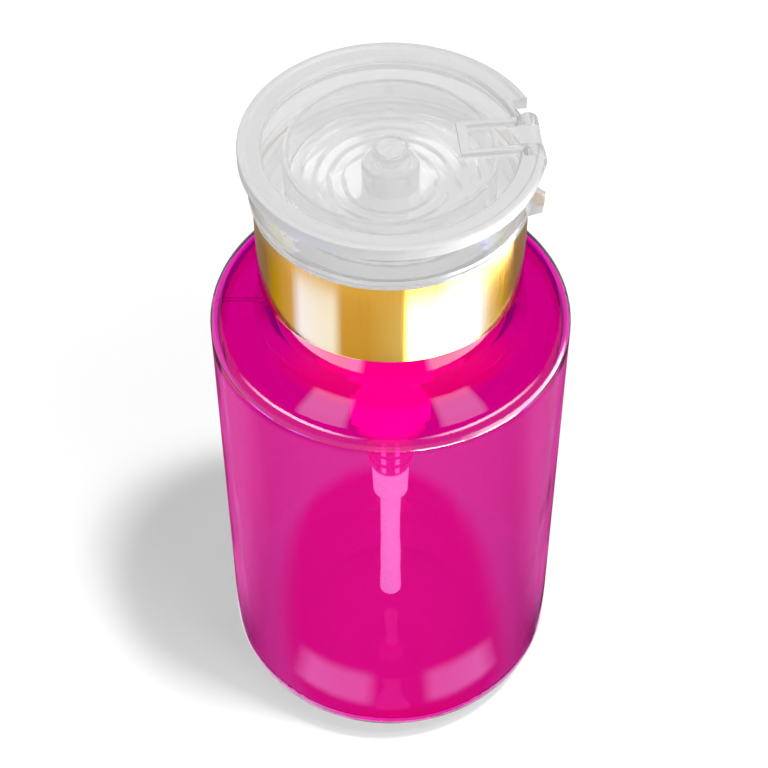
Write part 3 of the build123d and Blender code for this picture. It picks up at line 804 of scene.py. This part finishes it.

# %% Painted glow and highlights of housing and dip tube
SOCKET_TOP = (0.0485, 0.0495)
BARREL_FOOT = (0.0602, 0.0642)
HEAD_FOOT = (0.096, 0.101)
CREST_INNER = (0.0039, 0.0040)
CREST_OUTER = (0.0041, 0.0042)
GLINT_TURN = 17.5
GLINT_WIDTH = (3.0, 8.0)
TUBE_GLOW = (0.62, 0.40, 0.53, 1)
RIB_GLOW = (0.45, 0.01, 0.20, 1)
BARREL_GLOW = (0.95, 0.02, 0.55, 1)
CREST_GLOW = (1.0, 0.5, 0.8, 1)

magenta_lit_finish = Finish("natural_plastic_lit_magenta")
level = magenta_lit_finish.along("Z")
upper = magenta_lit_finish.between(level, *SOCKET_TOP)
barrel = magenta_lit_finish.between(level, *BARREL_FOOT)
in_head = magenta_lit_finish.between(level, *HEAD_FOOT)
inside = magenta_lit_finish.radius()
# Painted highlights: two small bright spots on the rib crests, 17.5 degrees either side of the
# front, stand in for lights mirrored there.
on_crest = magenta_lit_finish.between(inside, *CREST_INNER) * magenta_lit_finish.fading(inside, *CREST_OUTER)
beside_front = ((magenta_lit_finish.azimuth() + TURNED_LEFT).size() - GLINT_TURN).size()
crest_glint = magenta_lit_finish.fading(beside_front, *GLINT_WIDTH) * on_crest
glow_below = magenta_lit_finish.mix(upper, TUBE_GLOW, RIB_GLOW)
glow_in_bottle = magenta_lit_finish.mix(barrel, glow_below, BARREL_GLOW)
glow = magenta_lit_finish.mix(in_head, magenta_lit_finish.mix(crest_glint, glow_in_bottle, CREST_GLOW), grey(0))

# %% Housing and dip tube
MILKY_TONE = (0.90, 0.88, 0.89, 1), (0.95, 0.92, 0.94, 1)
# Painted light: barrel and ribs inside the bottle get a pink base colour that stands in for the
# magenta light around them; socket, dip tube and the part in the head stay milky.
PAINTED_PINK_TONE = (0.92, 0.05, 0.50, 1), (0.97, 0.07, 0.54, 1)

mottle = magenta_lit_finish.noise(0.002)
magenta_lit_shader = magenta_lit_finish.plastic(
    Base_Color=magenta_lit_finish.mix(
        upper * (1 - in_head),
        magenta_lit_finish.mix(mottle, *MILKY_TONE),
        magenta_lit_finish.mix(mottle, *PAINTED_PINK_TONE),
    ),
    Roughness=magenta_lit_finish.patchy(mottle, 0.2, 0.3),
    IOR=1.49,
    Transmission_Weight=0.1,
    Emission_Color=glow,
    Emission_Strength=1.0,
    Normal=magenta_lit_finish.bump(mottle, 0.00002),
)
barrel_and_tube = magenta_lit_finish.surface(magenta_lit_finish.let_lamps_through(magenta_lit_shader, PUMP_SHADE))
dress(["pump_housing", "dip_tube"], barrel_and_tube)

# %% Closure
WHITE_PLASTIC = grey(0.84), grey(0.88)

white = Finish("white_plastic")
speck = white.noise(0.0015)
closure = white.plastic(
    Base_Color=white.mix(speck, *WHITE_PLASTIC),
    Roughness=white.patchy(speck, 0.3, 0.4),
    Normal=white.bump(speck, 0.00002),
)
dress(["screw_cap"], white.surface(closure))

# %% Seals
SOFT_WHITE = (0.90, 0.90, 0.89, 1), (0.95, 0.95, 0.94, 1)
SEAL_SHADE = 0.9

soft = Finish("soft_white")
bloom = soft.noise(0.001)
seal = soft.plastic(
    Base_Color=soft.mix(bloom, *SOFT_WHITE),
    Roughness=soft.patchy(bloom, 0.5, 0.6),
    Transmission_Weight=0.6,
    Normal=soft.bump(bloom, 0.00001),
)
seals = soft.surface(soft.let_lamps_through(seal, SEAL_SHADE))
dress(["neck_gasket", "piston_seal", "lid_seal"], seals)

# %% Steel
STEEL = (0.62, 0.62, 0.63, 1), (0.74, 0.74, 0.75, 1)

steel = Finish("steel")
drawn = steel.noise(0.0004, (1, 1, 0.2))
wire = steel.plastic(
    Base_Color=steel.mix(drawn, *STEEL),
    Metallic=1.0,
    Roughness=steel.patchy(drawn, 0.15, 0.3),
    Normal=steel.bump(drawn, 0.000005),
)
dress(["return_spring", "inlet_ball", "outlet_ball"], steel.surface(wire))

# %% [markdown]
# ## The spring
# The spring stands on the valve cage and carries the piston, so its turns close up as the dish
# goes down. A rigid spring would poke through the piston. Here the spring is a copy of the CAD
# spring's own mesh, with a mesh of its own, on the pump's body, and the CAD spring is hidden.
# Nothing here flattens it; its top height is measured but not used.

cad_spring = nodes["return_spring"]
spring = bpy.data.objects.new("coil_spring", cad_spring.data.copy())
bpy.context.collection.objects.link(spring)
spring.matrix_world = cad_spring.matrix_world.copy()
spring_top = max((cad_spring.matrix_world @ Vector(corner)).z for corner in cad_spring.bound_box)
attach(spring, "pump")
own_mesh(spring)
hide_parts("return_spring")

# %% [markdown]
# ## Light paths
# A ray that the camera sends through the lid, the dish and the bottle crosses more than a dozen
# surfaces. With too few bounces it would end in black.

# %% Bounces
cycles = bpy.context.scene.cycles
cycles.max_bounces = 28
cycles.transmission_bounces = 24
cycles.glossy_bounces = 6
cycles.transparent_max_bounces = 24
bpy.context.scene.view_settings.view_transform = "Standard"
print("bounces", cycles.max_bounces)
